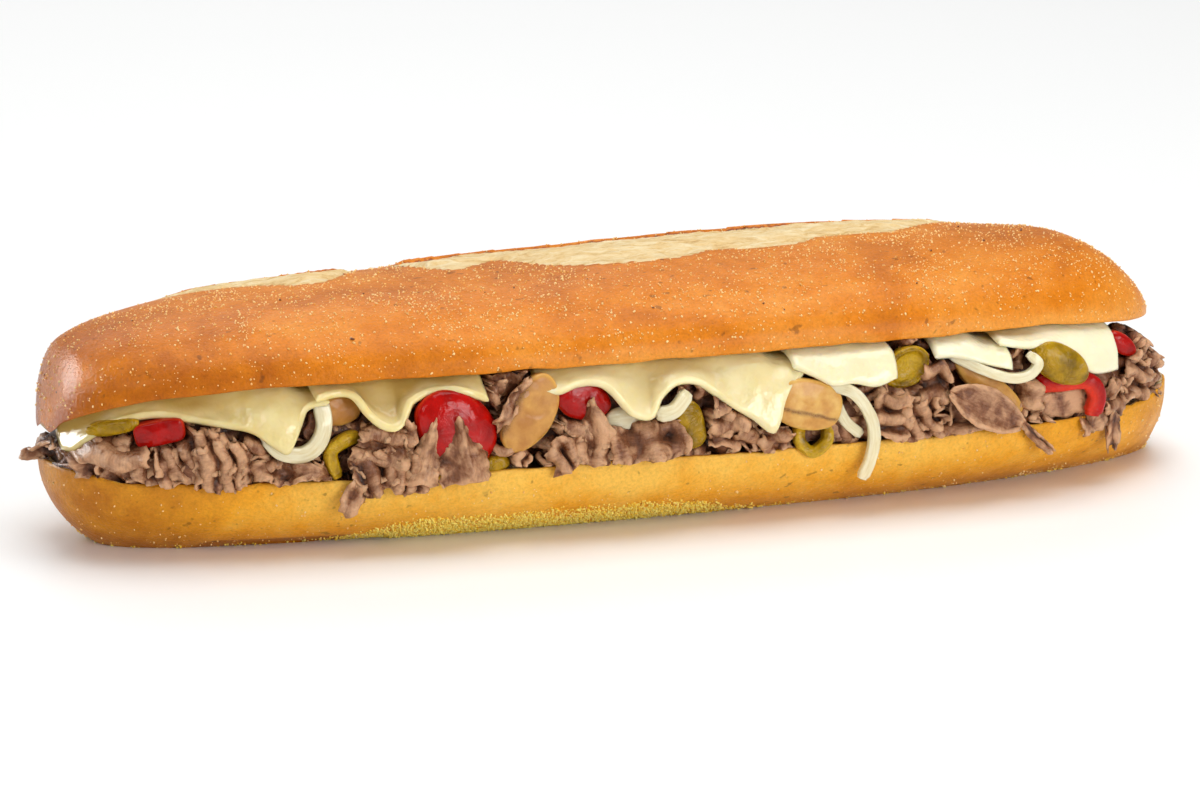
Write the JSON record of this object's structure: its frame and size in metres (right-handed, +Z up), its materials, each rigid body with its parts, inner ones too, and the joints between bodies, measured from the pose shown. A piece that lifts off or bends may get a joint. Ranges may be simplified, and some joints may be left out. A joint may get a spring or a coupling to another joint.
{
  "type": "submarine sandwich",
  "caption": "Long crusty roll cut in two and filled with shaved steak, draped cheese slices, peppers, onion and mushroom.",
  "frame": {"origin": "on the table, in the flat underside of the lower half of the roll, under the middle of its length and width", "axes": "+X along the roll towards its right end as shown, -Y towards the shown side, +Z up"},
  "size_m": [0.31, 0.0987, 0.064],
  "materials": {
    "crust": "golden baked crust, satin, with cornmeal specks",
    "steak": "grey-brown shaved beef, moist and fibrous",
    "cheese": "pale yellow melted cheese, soft gloss",
    "red_pepper": "bright red pepper skin, wet gloss",
    "green_pepper": "olive green pickled pepper, wet gloss",
    "onion": "pale translucent cooked onion, wet gloss",
    "mushroom": "tan cooked mushroom, satin"
  },
  "bodies": {
    "root": {"bun_top": "crust", "bun_bottom": "crust", "steak": "steak", "cheese_1": "cheese", "cheese_2": "cheese", "cheese_3": "cheese", "cheese_4": "cheese", "cheese_5": "cheese", "cheese_6": "cheese", "red_pepper_1": "red_pepper", "red_pepper_2": "red_pepper", "red_pepper_3": "red_pepper", "red_pepper_4": "red_pepper", "red_pepper_5": "red_pepper", "red_pepper_6": "red_pepper", "red_pepper_7": "red_pepper", "red_pepper_8": "red_pepper", "green_pepper_1": "green_pepper", "green_pepper_2": "green_pepper", "green_pepper_3": "green_pepper", "green_pepper_4": "green_pepper", "green_pepper_5": "green_pepper", "green_pepper_6": "green_pepper", "green_pepper_7": "green_pepper", "green_pepper_8": "green_pepper", "green_pepper_9": "green_pepper", "green_pepper_10": "green_pepper", "onion_1": "onion", "onion_2": "onion", "onion_3": "onion", "onion_4": "onion", "onion_5": "onion", "onion_6": "onion", "onion_7": "onion", "onion_8": "onion", "onion_9": "onion", "mushroom_1": "mushroom", "mushroom_2": "mushroom", "mushroom_3": "mushroom", "mushroom_4": "mushroom", "mushroom_5": "mushroom", "mushroom_6": "mushroom"}
  },
  "joints": []
}
